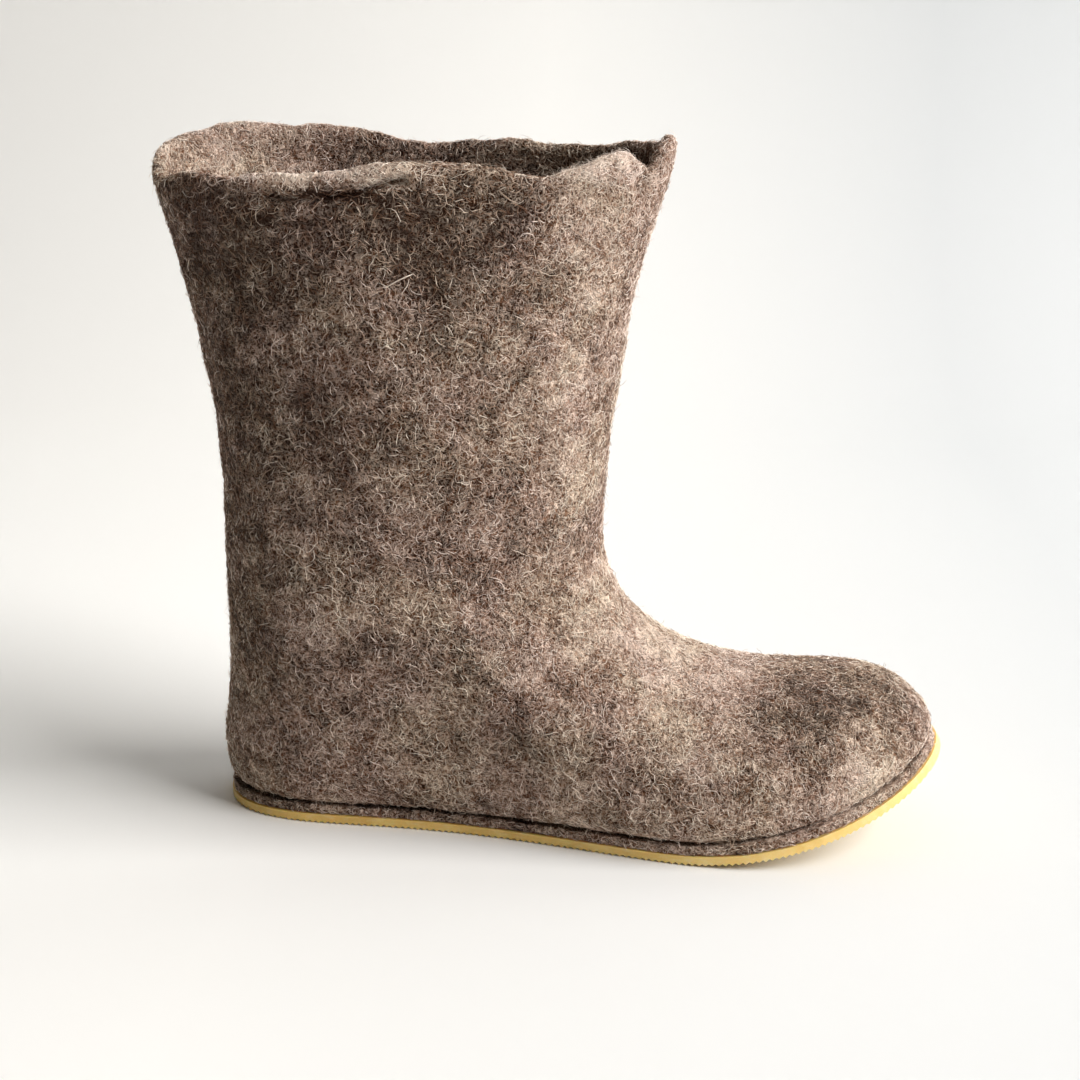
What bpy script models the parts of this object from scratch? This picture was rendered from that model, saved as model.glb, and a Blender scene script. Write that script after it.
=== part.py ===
"""Felted wool winter boot for the right foot, in metres, +Z up, the toe towards +X.

Four pieces, as a felt boot maker puts them together: a thin rubber outsole, a felt midsole on it,
the seamless hollow felt upper that is stitched down to the midsole, and a loose felt insole.
The lateral side of the foot is -Y. The origin is on the floor, under the middle of the boot's box.
"""

import math

import bmesh
import bpy
import numpy as np
from mathutils import Matrix, Vector

# Sole
SOLE_LENGTH = 0.264
HEEL_WIDTH = 0.058
WAIST_WIDTH = 0.063
BALL_WIDTH = 0.102
TOE_SPRING = 0.0286
TOE_SWING = 0.0052
ARCH_SWING = 0.0033
OUTSOLE_THICKNESS = 0.0033
MIDSOLE_THICKNESS = 0.0031
MIDSOLE_INSET = 0.0006

# Upper: rises are measured from its seat on the midsole
UPPER_WALL = 0.005
UPPER_INSET = 0.0026
TOE_RISE = 0.042
INSTEP_RISE = 0.0735
SHAFT_RISE = 0.228
ANKLE_DEPTH = 0.140
ANKLE_WIDTH = 0.080
COLLAR_DEPTH = 0.1765
COLLAR_WIDTH = 0.087
COLLAR_OVERHANG = 0.0145
COLLAR_WAVE = 0.010

# Insole: it lies loose inside the upper
INSOLE_THICKNESS = 0.003
INSOLE_PLAY = 0.0012

# Pieces that touch keep this much air, so that their meshes stay apart
FACE_GAP = 0.0004

# The sole leaves the floor at this share of its length, just past the ball
SPRING_START_SHARE = 0.63

# Mesh density
AROUND = 52
LEVELS_PER_SECTION = 2
SOLE_STEPS_ALONG = 52
SOLE_STEPS_ACROSS = 4

UPPER_SEAT = OUTSOLE_THICKNESS + FACE_GAP + MIDSOLE_THICKNESS + FACE_GAP

# Every level outline is an oval between a back and a front point. Its half width is a fullness
# times the sine of the angle around the oval, and the fullness is set at these shares of the
# way from back to front: heel end, heel, waist, ball, toe, toe end.
STATIONS = (0.0, 0.13, 0.40, 0.69, 0.90, 1.0)

# The width that each station's fullness is a share of
FOOT_WIDTHS = (HEEL_WIDTH, HEEL_WIDTH, WAIST_WIDTH, BALL_WIDTH, BALL_WIDTH, BALL_WIDTH)

# The sole's edge
SOLE_FULLNESS = (1.010, 0.740, 0.508, 0.543, 0.690, 0.740)

# Half widths, as shares of the same widths, that an inset draws in
SOLE_HALF_WIDTHS = (0.50, 0.50, 0.50, 0.50, 0.44, 0.44)

# Sections of the upper round the toe, from just above its lower edge.
# back and front: shares of SOLE_LENGTH; back_rise: share of INSTEP_RISE; front_rise: share of TOE_RISE
TOE_SECTIONS = (
    # back, back_rise, front, front_rise, fullness at the stations
    (0.0004, 0.045, 0.9990, 0.080, (0.980, 0.755, 0.520, 0.545, 0.645, 0.780)),
    (-0.0040, 0.125, 0.9860, 0.265, (0.980, 0.780, 0.560, 0.550, 0.645, 0.740)),
    (-0.0040, 0.220, 0.9550, 0.525, (0.970, 0.800, 0.585, 0.530, 0.640, 0.680)),
    (0.0010, 0.325, 0.9150, 0.745, (0.960, 0.810, 0.605, 0.500, 0.560, 0.560)),
    (0.0045, 0.450, 0.8520, 0.935, (0.930, 0.815, 0.615, 0.460, 0.430, 0.430)),
    (0.0070, 0.585, 0.7640, 1.085, (0.880, 0.815, 0.625, 0.425, 0.370, 0.370)),
)

# Sections up the instep: the same columns, but front_rise is a share of INSTEP_RISE
INSTEP_SECTIONS = (
    # back, back_rise, front, front_rise, fullness at the stations
    (0.0095, 0.735, 0.6750, 0.718, (0.840, 0.810, 0.630, 0.410, 0.370, 0.370)),
    (0.0105, 0.900, 0.6060, 0.850, (0.790, 0.785, 0.640, 0.400, 0.385, 0.380)),
    (0.0105, 1.075, 0.5590, 1.000, (0.740, 0.745, 0.660, 0.400, 0.390, 0.390)),
)

# Sections of the shaft, from the ankle to the collar. Rises run from the instep's 0 to the
# collar's 1, a lean of 0 is straight above the ankle and 1 is the collar's place, and widen runs
# from ANKLE_WIDTH at 0 to COLLAR_WIDTH at 1. The fullness is a share of the section's own width.
SHAFT_SECTIONS = (
    # back_rise, front_rise, back_lean, front_lean, widen, fullness at the stations
    (0.130, 0.095, 0.00, 0.04, 0.00, (0.530, 0.520, 0.505, 0.500, 0.500, 0.500)),
    (0.230, 0.215, 0.00, 0.00, 0.00, (0.520, 0.510, 0.500, 0.500, 0.490, 0.480)),
    (0.345, 0.350, 0.02, 0.09, 0.00, (0.520, 0.510, 0.505, 0.500, 0.490, 0.480)),
    (0.490, 0.500, 0.12, 0.23, 0.05, (0.517, 0.512, 0.512, 0.502, 0.487, 0.467)),
    (0.635, 0.660, 0.37, 0.39, 0.20, (0.497, 0.497, 0.502, 0.491, 0.470, 0.438)),
    (0.780, 0.805, 0.66, 0.63, 0.50, (0.495, 0.500, 0.500, 0.490, 0.459, 0.406)),
    (0.905, 0.925, 0.88, 0.93, 0.80, (0.497, 0.503, 0.497, 0.482, 0.447, 0.376)),
    (1.000, 1.000, 1.00, 1.00, 1.00, (0.500, 0.505, 0.500, 0.480, 0.440, 0.360)),
)

# Where the shaft's back rises from, as a share of SOLE_LENGTH
SHAFT_BACK_SHARE = 0.0105

# The hand-cut collar is uneven: each row lifts and flares it near one place.
# around: 0 is the back, 0.25 the lateral side, 0.5 the front and 0.75 the medial side;
# lift and flare: shares of COLLAR_WAVE; spread: share of the way round.
COLLAR_WAVES = (
    # around, lift, flare, spread
    (0.060, -0.75, 0.20, 0.045),
    (0.150, -0.60, 0.30, 0.050),
    (0.225, -0.25, 0.10, 0.050),
    (0.345, -0.60, 0.00, 0.040),
    (0.430, 0.05, 0.00, 0.035),
    (0.500, 0.70, 0.15, 0.030),
    (0.580, 0.45, 0.00, 0.040),
    (0.690, 0.40, 0.00, 0.040),
    (0.800, 0.55, 0.00, 0.050),
    (0.880, 0.88, 0.10, 0.060),
    (0.970, 0.30, 0.20, 0.050),
)

# The waves fade out below this share of the shaft's rise
WAVE_FOOT_SHARE = 0.80

# The felt lip stands up this much in the middle, as a share of the wall
LIP_CROWN_SHARE = 0.22


def smooth_through(knots, values, places):
    """Natural cubic curve through the values at the knots, read at the given places."""
    knots = np.asarray(knots, float)
    values = np.asarray(values, float).reshape(len(knots), -1)
    steps = np.diff(knots)
    system = np.eye(len(knots))
    slope_change = np.zeros_like(values)
    for i in range(1, len(knots) - 1):
        system[i, i - 1:i + 2] = steps[i - 1], 2 * (steps[i - 1] + steps[i]), steps[i]
        before = (values[i] - values[i - 1]) / steps[i - 1]
        after = (values[i + 1] - values[i]) / steps[i]
        slope_change[i] = 6 * (after - before)
    bend = np.linalg.solve(system, slope_change)
    places = np.atleast_1d(np.asarray(places, float))
    i = np.clip(np.searchsorted(knots, places, side="right") - 1, 0, len(knots) - 2)
    step = steps[i][:, None]
    a = (knots[i + 1] - places)[:, None] / step
    b = 1 - a
    straight = a * values[i] + b * values[i + 1]
    curved = ((a**3 - a) * bend[i] + (b**3 - b) * bend[i + 1]) * step**2 / 6
    return straight + curved


def smooth_step(t):
    t = min(max(t, 0.0), 1.0)
    return t * t * (3 - 2 * t)


def blend(start, end, share):
    return start + share * (end - start)


def centre_line(along, rise):
    """Sideways place of the middle of the foot: the toe swings medially and the arch is hollowed."""
    share = along / SOLE_LENGTH
    toe = TOE_SWING * smooth_step((share - 0.45) / 0.55)
    arch = ARCH_SWING * math.exp(-(((share - 0.40) / 0.16) ** 2))
    return toe - arch * max(0.0, 1 - rise / TOE_RISE)


def sole_point(along, level):
    """Place (x, z) on the sole's side view, at a level above the tread, measured square to it."""
    past = max(0.0, along / SOLE_LENGTH - SPRING_START_SHARE) / (1 - SPRING_START_SHARE)
    tilt = math.atan(2 * TOE_SPRING * past / (SOLE_LENGTH * (1 - SPRING_START_SHARE)))
    return along - level * math.sin(tilt), TOE_SPRING * past**2 + level * math.cos(tilt)


def seat_height(x):
    """Height of the upper's seat at a place x, found by walking along the sole."""
    along = x
    for _ in range(8):
        along += x - sole_point(along, UPPER_SEAT)[0]
    return sole_point(along, UPPER_SEAT)[1]


def sole_fullness(inset):
    """The sole's fullness at the stations, drawn in by the inset."""
    rows = zip(SOLE_FULLNESS, SOLE_HALF_WIDTHS, FOOT_WIDTHS)
    return [full * (width - inset / half) for full, half, width in rows]


def oval_half_width(angle, fullness):
    share = (1 - math.cos(angle)) / 2
    return math.sin(angle) * float(smooth_through(STATIONS, fullness, share)[0, 0])


def sole_layer_point(forward, across, inset, level):
    """Maps a square, -1 to 1 each way, to a layer of the sole: forward runs from heel to toe."""
    angle = math.pi * (1 + forward) / 2
    share = (1 - math.cos(angle)) / 2
    along = blend(inset, SOLE_LENGTH - inset, share)
    x, z = sole_point(along, level)
    return Vector((x, centre_line(along, 0.0) + across * oval_half_width(angle, sole_fullness(inset)), z))


def make_material(name, colour, roughness):
    material = bpy.data.materials.new(name)
    material.use_nodes = True
    shader = material.node_tree.nodes["Principled BSDF"]
    shader.inputs["Base Color"].default_value = (*colour, 1.0)
    shader.inputs["Roughness"].default_value = roughness
    shader.inputs["Metallic"].default_value = 0.0
    return material


def add_object(name, bm, material, collection):
    """Turns the finished bmesh into a smooth shaded object of the boot."""
    mesh = bpy.data.meshes.new(name)
    bm.to_mesh(mesh)
    bm.free()
    mesh.materials.append(material)
    mesh.shade_smooth()
    mesh.set_sharp_from_angle(angle=math.radians(40))
    piece = bpy.data.objects.new(name, mesh)
    collection.objects.link(piece)
    return piece


def make_sole_layer(name, inset, level, thickness, material, collection):
    """A flexible plate: a grid drawn out to the foot's outline, closed at heel and toe."""
    bm = bmesh.new()
    bmesh.ops.create_grid(bm, x_segments=SOLE_STEPS_ALONG, y_segments=SOLE_STEPS_ACROSS, size=1.0)
    for vertex in bm.verts:
        vertex.co = sole_layer_point(vertex.co.x, vertex.co.y, inset, level)
    bmesh.ops.remove_doubles(bm, verts=bm.verts, dist=0.00001)
    plate = add_object(name, bm, material, collection)
    body = plate.modifiers.new("thickness", "SOLIDIFY")
    body.thickness = thickness
    body.offset = 1.0
    body.use_even_offset = True
    return plate


def section_rows():
    """All sections of the upper from the seat up: back, back_rise, front, front_rise, fullness."""
    rows = [(UPPER_INSET, 0.0, SOLE_LENGTH - UPPER_INSET, 0.0, *sole_fullness(UPPER_INSET))]
    for sections, rise_unit in ((TOE_SECTIONS, TOE_RISE), (INSTEP_SECTIONS, INSTEP_RISE)):
        for back, back_rise, front, front_rise, fullness in sections:
            ends = (back * SOLE_LENGTH, back_rise * INSTEP_RISE, front * SOLE_LENGTH, front_rise * rise_unit)
            rows.append((*ends, *(full * width for full, width in zip(fullness, FOOT_WIDTHS))))
    for back_rise, front_rise, back_lean, front_lean, widen, fullness in SHAFT_SECTIONS:
        back = blend(SHAFT_BACK_SHARE * SOLE_LENGTH, -COLLAR_OVERHANG, back_lean)
        front = blend(ANKLE_DEPTH, COLLAR_DEPTH - COLLAR_OVERHANG, front_lean)
        rises = [blend(INSTEP_RISE, SHAFT_RISE, rise) for rise in (back_rise, front_rise)]
        width = blend(ANKLE_WIDTH, COLLAR_WIDTH, widen)
        rows.append((back, rises[0], front, rises[1], *(full * width for full in fullness)))
    return rows


def collar_wave(around):
    """Lift and flare of the collar at one place of its way round."""
    lift = 0.0
    flare = 0.0
    for place, row_lift, row_flare, spread in COLLAR_WAVES:
        apart = abs(around - place)
        apart = min(apart, 1 - apart)
        weight = COLLAR_WAVE * math.exp(-((apart / spread) ** 2))
        lift += row_lift * weight
        flare += row_flare * weight
    return lift, flare


def section_ring(section):
    """The points round one section, from the back along the lateral side."""
    back, back_rise, front, front_rise = section[:4]
    ring = []
    for step in range(AROUND):
        angle = 2 * math.pi * step / AROUND
        share = (1 - math.cos(angle)) / 2
        along = blend(back, front, share)
        rise = blend(back_rise, front_rise, share)
        lift, flare = collar_wave(step / AROUND)
        fade = smooth_step(1 - (1 - rise / SHAFT_RISE) / (1 - WAVE_FOOT_SHARE))
        x, z = sole_point(along, UPPER_SEAT)
        y = centre_line(along, rise) - oval_half_width(angle, section[4:])
        outward = Vector((-math.cos(angle), -math.sin(angle), 0.0))
        ring.append(Vector((x, y, z + rise + lift * fade)) + outward * flare * fade**2)
    return ring


def bridge(bm, lower, upper):
    """A band of four-sided faces between two closed rings of vertices."""
    for step in range(len(lower)):
        after = (step + 1) % len(lower)
        bm.faces.new((lower[step], upper[step], upper[after], lower[after]))


def make_upper(material, collection):
    """The felt shell: an outer loft through the sections, an inner one a wall inside it, and two rims."""
    rows = section_rows()
    levels = np.linspace(0, len(rows) - 1, (len(rows) - 1) * LEVELS_PER_SECTION + 1)
    sections = smooth_through(range(len(rows)), rows, levels)
    bm = bmesh.new()
    outer = [[bm.verts.new(point) for point in section_ring(section)] for section in sections]
    for lower, upper in zip(outer, outer[1:]):
        bridge(bm, lower, upper)
    bmesh.ops.recalc_face_normals(bm, faces=bm.faces)
    bm.normal_update()
    inner = []
    for ring in outer:
        inner_ring = []
        for vertex in ring:
            # Where the felt overhangs, the wall is measured level, so that the inner rings don't cross
            inward = -Vector((vertex.normal.x, vertex.normal.y, max(vertex.normal.z, 0.0))).normalized()
            inner_ring.append(bm.verts.new(vertex.co + inward * UPPER_WALL))
        inner.append(inner_ring)
    for vertex in inner[0]:
        vertex.co.z = seat_height(vertex.co.x)
    for lower, upper in zip(inner, inner[1:]):
        bridge(bm, lower, upper)
    lip = []
    for outside, inside in zip(outer[-1], inner[-1]):
        middle = (outside.co + inside.co) / 2
        lip.append(bm.verts.new(middle + Vector((0.0, 0.0, LIP_CROWN_SHARE * UPPER_WALL))))
    bridge(bm, outer[-1], lip)
    bridge(bm, lip, inner[-1])
    bridge(bm, inner[0], outer[0])
    bmesh.ops.recalc_face_normals(bm, faces=bm.faces)
    return add_object("upper", bm, material, collection)


def centre_on_origin(pieces):
    """Moves the pieces together so that the middle of their box is over the origin."""
    corners = [vertex.co for piece in pieces for vertex in piece.data.vertices]
    middle_x = (min(c.x for c in corners) + max(c.x for c in corners)) / 2
    middle_y = (min(c.y for c in corners) + max(c.y for c in corners)) / 2
    for piece in pieces:
        piece.data.transform(Matrix.Translation((-middle_x, -middle_y, 0.0)))


def main():
    for leftover in list(bpy.data.objects):
        bpy.data.objects.remove(leftover, do_unlink=True)
    boot = bpy.data.collections.new("felt_boot")
    bpy.context.scene.collection.children.link(boot)

    rubber = make_material("honey_rubber", (0.66, 0.47, 0.15), 0.55)
    brown_felt = make_material("brown_felt", (0.20, 0.15, 0.12), 0.95)
    grey_felt = make_material("grey_felt", (0.16, 0.13, 0.12), 0.95)
    pale_felt = make_material("pale_felt", (0.30, 0.24, 0.19), 0.95)

    outsole = make_sole_layer("outsole", 0.0, 0.0, OUTSOLE_THICKNESS, rubber, boot)
    midsole_level = OUTSOLE_THICKNESS + FACE_GAP
    midsole = make_sole_layer("midsole", MIDSOLE_INSET, midsole_level, MIDSOLE_THICKNESS, grey_felt, boot)
    insole_inset = UPPER_INSET + UPPER_WALL + INSOLE_PLAY
    insole = make_sole_layer("insole", insole_inset, UPPER_SEAT, INSOLE_THICKNESS, pale_felt, boot)
    upper = make_upper(brown_felt, boot)
    centre_on_origin([outsole, midsole, insole, upper])


main()
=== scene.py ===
# %% [markdown]
# # A felted wool boot
# The boot is one seamless shell of thick wool felt on a felt midsole and a thin
# honey-coloured rubber sole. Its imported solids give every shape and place, so this
# lesson only dresses them: it rounds the felt, presses in the folds, grows the loose
# fibres and cuts the fine ripple of the tread. Everything is in metres, with the toe
# towards +X and the floor at z = 0.

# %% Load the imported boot
import math

import bmesh
import bpy
import numpy as np
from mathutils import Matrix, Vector, noise
from mathutils.bvhtree import BVHTree


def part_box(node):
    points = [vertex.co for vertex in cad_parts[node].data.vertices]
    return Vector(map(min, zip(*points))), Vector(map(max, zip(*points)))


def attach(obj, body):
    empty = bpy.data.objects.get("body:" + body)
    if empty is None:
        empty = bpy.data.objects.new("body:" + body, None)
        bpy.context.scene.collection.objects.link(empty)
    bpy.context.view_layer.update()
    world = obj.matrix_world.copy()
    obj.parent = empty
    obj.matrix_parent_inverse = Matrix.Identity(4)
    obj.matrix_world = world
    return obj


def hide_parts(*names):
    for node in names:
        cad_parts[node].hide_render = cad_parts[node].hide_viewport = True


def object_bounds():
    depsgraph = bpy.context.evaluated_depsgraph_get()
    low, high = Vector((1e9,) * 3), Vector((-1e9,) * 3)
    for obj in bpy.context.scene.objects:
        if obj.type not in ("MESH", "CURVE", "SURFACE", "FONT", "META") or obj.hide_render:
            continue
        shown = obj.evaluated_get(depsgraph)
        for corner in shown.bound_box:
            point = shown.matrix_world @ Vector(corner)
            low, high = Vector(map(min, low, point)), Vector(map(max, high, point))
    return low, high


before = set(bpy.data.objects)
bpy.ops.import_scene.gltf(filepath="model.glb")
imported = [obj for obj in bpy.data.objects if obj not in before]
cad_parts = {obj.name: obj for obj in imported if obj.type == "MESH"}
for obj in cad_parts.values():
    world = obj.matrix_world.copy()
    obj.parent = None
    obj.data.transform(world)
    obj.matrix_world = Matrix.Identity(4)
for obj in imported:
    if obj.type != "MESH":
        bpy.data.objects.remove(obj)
cad_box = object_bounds()
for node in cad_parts:
    low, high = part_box(node)
    print(node, "is", [round(1000 * side, 1) for side in high - low], "mm")

# %% [markdown]
# The photograph was taken with a moderate lens from a little above the boot, square
# to its outer side. A camera found by fitting the outline of the solids to the
# photograph keeps that view. The plain view transform keeps the white floor white
# next to the brown wool, as the photograph does.

# %% The photograph's viewpoint
DOWNWARD_TILT = math.radians(16.3)
LEVEL_HEADING = Vector((-0.1064, 0.9943, 0))

scene = bpy.context.scene
scene.view_settings.view_transform = "Standard"
camera = bpy.data.objects.new("viewpoint", bpy.data.cameras.new("viewpoint"))
scene.collection.objects.link(camera)
camera.data.lens = 53
camera.data.sensor_width = 36
camera.location = (0.0520, -0.5476, 0.2615)
facing = LEVEL_HEADING * math.cos(DOWNWARD_TILT)
facing.z = -math.sin(DOWNWARD_TILT)
camera.rotation_euler = facing.to_track_quat("-Z", "Y").to_euler()
scene.camera = camera
print("camera", round((camera.location - Vector((0, 0, 0.12))).length, 3), "m from the boot")

# %% [markdown]
# A node tree for felt has many small sums. Written as nodes one by one they are hard
# to read, so a small class wraps a socket: adding or multiplying two of them adds the
# Math node, and one method makes every other kind of node.

# %% Sockets that can be added and multiplied


class Shade:
    """One value or colour on its way through a material."""

    def __init__(self, tree, socket=None):
        self.tree = tree
        self.socket = socket

    def node(self, kind, settings=None, inputs=None, output=0):
        """Adds a node with its settings and inputs, and gives one of its outputs."""
        made = self.tree.nodes.new(kind)
        for name, value in (settings or {}).items():
            if name == "stops":
                ramp = made.color_ramp
                while len(ramp.elements) < len(value):
                    ramp.elements.new(0.5)
                for element, (place, colour) in zip(ramp.elements, value):
                    element.position = place
                    element.color = (*colour, 1)
            else:
                setattr(made, name, value)
        for name, value in (inputs or {}).items():
            if isinstance(value, Shade):
                self.tree.links.new(value.socket, made.inputs[name])
            else:
                made.inputs[name].default_value = value
        return Shade(self.tree, made.outputs[output])

    def maths(self, operation, first, second=0.0):
        return self.node("ShaderNodeMath", {"operation": operation}, {0: first, 1: second})

    def __add__(self, other):
        return self.maths("ADD", self, other)

    def __sub__(self, other):
        return self.maths("SUBTRACT", self, other)

    def __rsub__(self, other):
        return self.maths("SUBTRACT", other, self)

    def __mul__(self, other):
        return self.maths("MULTIPLY", self, other)

    def __abs__(self):
        return self.maths("ABSOLUTE", self)

    __radd__ = __add__
    __rmul__ = __mul__

    def held(self):
        """The value kept between 0 and 1."""
        return self.node("ShaderNodeClamp", None, {0: self})

    def speckle(self, scale, detail=2.0, rough=0.5, twist=0.0):
        """Soft noise on these coordinates, with patches of about 1 / scale metres."""
        sizes = {"Scale": scale, "Detail": detail, "Roughness": rough, "Distortion": twist}
        return self.node("ShaderNodeTexNoise", None, {"Vector": self, **sizes})

    def hairlines(self, scale, twist, sharpness):
        """Thin wandering lines where the noise crosses its middle value."""
        level = self.speckle(scale, 1.0, 0.5, twist)
        return (1 - abs(level - 0.5) * sharpness).held()

    def blended(self, first, second):
        """The two colours mixed by this value."""
        return self.node("ShaderNodeMix", {"data_type": "RGBA"}, {0: self, 6: first, 7: second}, 2)

    def stretched(self, size):
        """These coordinates scaled along each axis."""
        return self.node("ShaderNodeMapping", None, {"Vector": self, "Scale": size})

    def along(self, axis):
        """The x, y or z of these coordinates, as axis 0, 1 or 2."""
        return self.node("ShaderNodeSeparateXYZ", None, {0: self}, axis)

    def ramp(self, stops):
        """The colour at this value, from pairs of a place and a colour."""
        return self.node("ShaderNodeValToRGB", {"stops": stops}, {0: self})


def new_finish(name, fixed):
    """A new material, a Shade to start its nodes from and its shader with fixed values."""
    finish = bpy.data.materials.new(name)
    finish.use_nodes = True
    shader = finish.node_tree.nodes["Principled BSDF"]
    for socket, value in fixed.items():
        shader.inputs[socket].default_value = value
    return finish, Shade(finish.node_tree), shader


def wear(finish, shader, colour, roughness=None, height=None, depth=0.0004, strength=0.6):
    """Links a colour, a roughness and a bump height to the shader."""
    links = finish.node_tree.links
    links.new(colour.socket, shader.inputs["Base Color"])
    if roughness is not None:
        links.new(roughness.socket, shader.inputs["Roughness"])
    if height is not None:
        bump = height.node(
            "ShaderNodeBump", None, {"Height": height, "Distance": depth, "Strength": strength}
        )
        links.new(bump.socket, shader.inputs["Normal"])
    print("finish", finish.name, "has", len(finish.node_tree.nodes), "nodes")


# %% [markdown]
# The stage is a white sweep: a floor that bends up into a wall behind the boot, so no
# line crosses the view. It is one edge profile, extruded sideways. Its paper is a
# little greyer towards the window, where the light is strongest, so that the white
# stays even and the boot's fuzzy edge shows against it.

# %% Floor and backdrop
WHITE_PAPER = (0.915, 0.910, 0.890, 1)
SHADED_PAPER = (0.640, 0.655, 0.663, 1)
SHADING_START = -0.10
SHADING_PER_METRE = 2.86


def make_sweep(half_width=5.0, reach=5.0, wall_start=0.62, bend=0.35, height=2.6):
    """The floor and the wall behind it, joined by a quarter bend."""
    shape = bmesh.new()
    front = shape.verts.new((-half_width, -reach, 0))
    back = shape.verts.new((-half_width, wall_start, 0))
    shape.edges.new((front, back))
    middle = (-half_width, wall_start, bend)
    quarter = math.pi / 2
    bmesh.ops.spin(shape, geom=[back], cent=middle, axis=(1, 0, 0), angle=quarter, steps=24)
    top = max(shape.verts, key=lambda v: v.co.z)
    raised = bmesh.ops.extrude_vert_indiv(shape, verts=[top])["verts"]
    bmesh.ops.translate(shape, verts=raised, vec=(0, 0, height))
    sides = bmesh.ops.extrude_edge_only(shape, edges=shape.edges[:])["geom"]
    moved = [g for g in sides if isinstance(g, bmesh.types.BMVert)]
    bmesh.ops.translate(shape, verts=moved, vec=(2 * half_width, 0, 0))
    bmesh.ops.recalc_face_normals(shape, faces=shape.faces[:])
    mesh = bpy.data.meshes.new("sweep")
    shape.to_mesh(mesh)
    shape.free()
    mesh.shade_smooth()
    return mesh


sweep = bpy.data.objects.new("sweep", make_sweep())
scene.collection.objects.link(sweep)
paper, blank, shader = new_finish("white_paper", {"Roughness": 0.9})
place = blank.node("ShaderNodeTexCoord", output="Object")
toward_window = ((place.along(0) - SHADING_START) * SHADING_PER_METRE).held()
wear(paper, shader, toward_window.blended(WHITE_PAPER, SHADED_PAPER))
sweep.data.materials.append(paper)
lowest = min(v.co.z for v in sweep.data.vertices)
print("sweep", len(sweep.data.polygons), "faces, lowest point", lowest)

# %% [markdown]
# One large soft window stands to the right, a little in front and above: it lights
# the toe, the instep and the front of the shaft, and leaves the heel side dark. A dim
# warm world and a weak lamp above keep the shadows open, as in the photograph.

# %% Soft light
LAMPS = [
    # name, place, width and height, watts, colour
    ("window", (2.35, -0.52, 1.75), (2.0, 2.0), 151, (1.0, 0.985, 0.965)),
    ("ceiling", (0.1, 0.1, 2.0), (1.8, 1.8), 3, (1.0, 0.95, 0.89)),
]
WARM_ROOM = (1.0, 0.88, 0.74, 1)
ROOM_STRENGTH = 0.06


def hang_lamp(name, place, size, power, tint, aim=(0, 0, 0.1)):
    """A rectangular lamp that shines from its place at the boot."""
    lamp = bpy.data.lights.new(name, "AREA")
    lamp.shape = "RECTANGLE"
    lamp.size, lamp.size_y = size
    lamp.energy = power
    lamp.color = tint
    holder = bpy.data.objects.new(name, lamp)
    holder.location = place
    holder.rotation_euler = (Vector(aim) - Vector(place)).to_track_quat("-Z", "Y").to_euler()
    scene.collection.objects.link(holder)


for lamp_row in LAMPS:
    hang_lamp(*lamp_row)
room = bpy.data.worlds.new("room")
room.use_nodes = True
backdrop = room.node_tree.nodes["Background"]
backdrop.inputs["Color"].default_value = WARM_ROOM
backdrop.inputs["Strength"].default_value = ROOM_STRENGTH
scene.world = room
print("lights:", [light.name for light in bpy.data.lights])

# %% [markdown]
# A pale dome stands round it all, and a ring of pale haze lies over the far floor, where
# little light falls. Only the camera sees the two. They give no light, and they keep the
# background pale when the boot is looked at from another side.

# %% Pale dome and haze
GLOW = (1.0, 0.99, 0.95, 1)
DOME_RADIUS = 12.0
RING_RADIUS = 1.3
HAZE_START = 1.35
HAZE_PER_METRE = 1.3


def pale_glow(name):
    """A finish that glows faintly by itself."""
    finish, start, shader = new_finish(name, {"Emission Strength": 0.88, "Roughness": 1.0})
    shader.inputs["Base Color"].default_value = (0, 0, 0, 1)
    shader.inputs["Emission Color"].default_value = GLOW
    shader.inputs["Specular IOR Level"].default_value = 0
    return finish, start, shader


def seen_only(name, shape, finish):
    """Adds a shape to the stage that the camera sees and that gives no light."""
    mesh = bpy.data.meshes.new(name)
    shape.to_mesh(mesh)
    shape.free()
    mesh.materials.append(finish)
    piece = bpy.data.objects.new(name, mesh)
    scene.collection.objects.link(piece)
    piece.visible_diffuse = False
    piece.visible_glossy = False
    piece.visible_transmission = False
    piece.visible_shadow = False
    print(name, "has", len(mesh.polygons), "faces")


dome_shape = bmesh.new()
bmesh.ops.create_icosphere(dome_shape, subdivisions=4, radius=DOME_RADIUS)
bmesh.ops.reverse_faces(dome_shape, faces=dome_shape.faces[:])
seen_only("dome", dome_shape, pale_glow("pale_dome")[0])

ring_shape = bmesh.new()
bmesh.ops.create_circle(ring_shape, segments=64, radius=RING_RADIUS)
spread = bmesh.ops.extrude_edge_only(ring_shape, edges=ring_shape.edges[:])["geom"]
outer = [g for g in spread if isinstance(g, bmesh.types.BMVert)]
bmesh.ops.scale(ring_shape, verts=outer, vec=(9, 9, 1))
bmesh.ops.translate(ring_shape, verts=ring_shape.verts[:], vec=(0, 0, 0.002))
haze, start, shader = pale_glow("pale_haze")
place = start.node("ShaderNodeTexCoord", output="Object")
distance = place.node("ShaderNodeVectorMath", {"operation": "LENGTH"}, {0: place}, 1)
thickness = ((distance - HAZE_START) * HAZE_PER_METRE).held()
haze.node_tree.links.new(thickness.socket, shader.inputs["Alpha"])
seen_only("haze", ring_shape, haze)
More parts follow.
